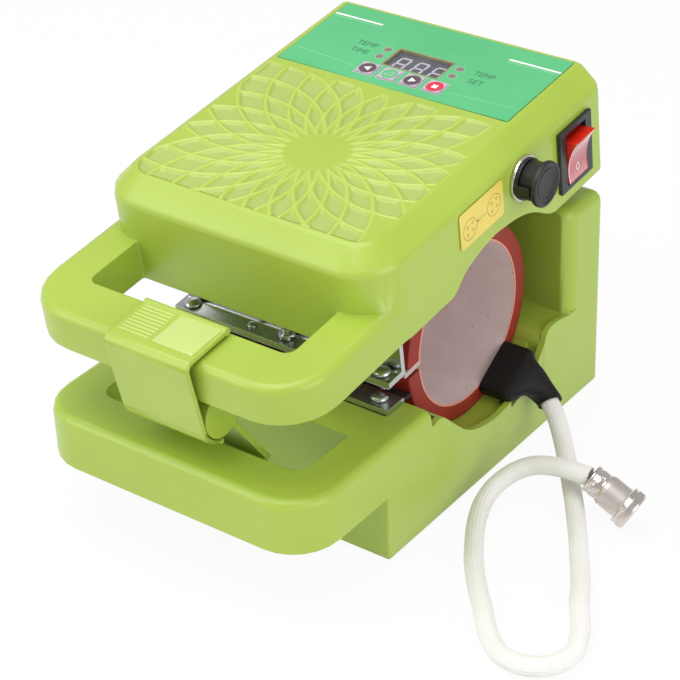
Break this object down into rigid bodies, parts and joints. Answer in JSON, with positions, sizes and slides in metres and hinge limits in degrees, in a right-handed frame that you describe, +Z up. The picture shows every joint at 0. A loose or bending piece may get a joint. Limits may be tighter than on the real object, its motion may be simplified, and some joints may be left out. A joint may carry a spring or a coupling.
{
  "type": "mug heat press",
  "caption": "Clam-shell mug heat press: hinged upper housing with controls, lower housing, split heated wrap in a round bore, handle loops, pivoting latch and a sleeved heater lead.",
  "frame": {"origin": "centre of the footprint of everything but the lead, on the surface it stands on", "axes": "+Z up, -Y towards the handles, +X towards the switch, the socket and the lead, X along the mug bore"},
  "size_m": [0.256, 0.2464, 0.1699],
  "materials": {
    "lime_abs": "moulded gloss",
    "zinc_plated_steel": "zinc plated, pressed",
    "nickel_plated_brass": "nickel plated, turned",
    "red_silicone_rubber": "smooth cured silicone",
    "coated_liner_cloth": "release-coated cloth",
    "black_rubber": "moulded matt",
    "black_nylon": "moulded fine texture",
    "white_braided_sleeve": "fine braid",
    "green_polyester_film": "printed satin film",
    "dark_acrylic_window": "polished",
    "dark_key_film": "printed satin film",
    "red_key_film": "printed satin film",
    "clear_lamp_epoxy": "clear cast epoxy",
    "circuit_board_laminate": "solder mask",
    "red_polycarbonate": "translucent gloss",
    "yellow_label_film": "printed film"
  },
  "bodies": {
    "base": {"base_housing": "lime_abs", "base_bottom_cover": "lime_abs", "base_handle_cover": "lime_abs", "foot_1": "black_rubber", "foot_2": "black_rubber", "foot_3": "black_rubber", "foot_4": "black_rubber", "base_screw_1": "zinc_plated_steel", "base_screw_2": "zinc_plated_steel", "base_screw_3": "zinc_plated_steel", "base_screw_4": "zinc_plated_steel", "lower_clamp_bar": "zinc_plated_steel", "lower_clamp_screw_1": "zinc_plated_steel", "lower_clamp_screw_2": "zinc_plated_steel", "wrap_lower": "red_silicone_rubber", "wrap_lower_liner": "coated_liner_cloth", "hinge_pin": "zinc_plated_steel", "cable_boot": "black_rubber", "heater_cable": "white_braided_sleeve", "plug_clamp_nut": "nickel_plated_brass", "plug_body": "nickel_plated_brass", "plug_coupling_ring": "nickel_plated_brass", "plug_pin_insert": "black_nylon"},
    "lid": {"latch_bracket": "zinc_plated_steel", "latch_pin": "zinc_plated_steel", "lid_housing": "lime_abs", "lid_inner_cover": "lime_abs", "lid_handle_cover": "lime_abs", "upper_clamp_bracket": "zinc_plated_steel", "upper_clamp_screw_1": "zinc_plated_steel", "upper_clamp_screw_2": "zinc_plated_steel", "upper_clamp_mid_screw": "zinc_plated_steel", "upper_clamp_nut": "zinc_plated_steel", "wrap_upper": "red_silicone_rubber", "wrap_upper_liner": "coated_liner_cloth", "upper_press_plate": "zinc_plated_steel", "control_panel": "green_polyester_film", "display_window": "dark_acrylic_window", "lamp_1": "clear_lamp_epoxy", "lamp_2": "clear_lamp_epoxy", "lamp_3": "clear_lamp_epoxy", "lamp_4": "clear_lamp_epoxy", "control_board": "circuit_board_laminate", "power_relay": "black_nylon", "rocker_frame": "black_nylon", "panel_socket": "nickel_plated_brass", "socket_nut": "nickel_plated_brass", "dust_cap_strap": "black_rubber", "side_label": "yellow_label_film", "mains_gland": "black_nylon", "mains_gland_nut": "black_nylon"},
    "latch_lever": {"latch_lever": "lime_abs"},
    "latch_hook": {"latch_hook": "lime_abs"},
    "rocker": {"rocker_key": "red_polycarbonate"},
    "dust_cap": {"dust_cap": "black_rubber"},
    "key_1": {"key_1": "dark_key_film"},
    "key_2": {"key_2": "green_polyester_film"},
    "key_3": {"key_3": "dark_key_film"},
    "key_4": {"key_4": "red_key_film"}
  },
  "joints": [
    {"name": "lid_hinge", "type": "hinge", "parent": "base", "child": "lid", "pos_m": [-0.00744, 0.10919, 0.1113], "axis": [-1, 0, 0], "range_deg": [0, 60]},
    {"name": "latch_lever_pivot", "type": "hinge", "parent": "lid", "child": "latch_lever", "pos_m": [-0.00494, -0.10178, 0.0845], "axis": [1, 0, 0], "range_deg": [0, 55]},
    {"name": "latch_hook_pivot", "type": "hinge", "parent": "latch_lever", "child": "latch_hook", "pos_m": [-0.00494, -0.10178, 0.0845], "axis": [1, 0, 0], "range_deg": [-5, 15]},
    {"name": "rocker_pivot", "type": "hinge", "parent": "lid", "child": "rocker", "pos_m": [0.06616, 0.09037, 0.137], "axis": [0, -0.9941, -0.1082], "range_deg": [0, 22]},
    {"name": "dust_cap_pull", "type": "slide", "parent": "lid", "child": "dust_cap", "axis": [1, 0, 0], "range_m": [0, 0.012]},
    {"name": "key_1_press", "type": "slide", "parent": "lid", "child": "key_1", "axis": [0, 0.1082, -0.9941], "range_m": [0, 0.0005], "stiffness_N_per_m": 400, "springref_m": -0.0003},
    {"name": "key_2_press", "type": "slide", "parent": "lid", "child": "key_2", "axis": [0, 0.1082, -0.9941], "range_m": [0, 0.0005], "stiffness_N_per_m": 400, "springref_m": -0.0003},
    {"name": "key_3_press", "type": "slide", "parent": "lid", "child": "key_3", "axis": [0, 0.1082, -0.9941], "range_m": [0, 0.0005], "stiffness_N_per_m": 400, "springref_m": -0.0003},
    {"name": "key_4_press", "type": "slide", "parent": "lid", "child": "key_4", "axis": [0, 0.1082, -0.9941], "range_m": [0, 0.0005], "stiffness_N_per_m": 400, "springref_m": -0.0003}
  ]
}
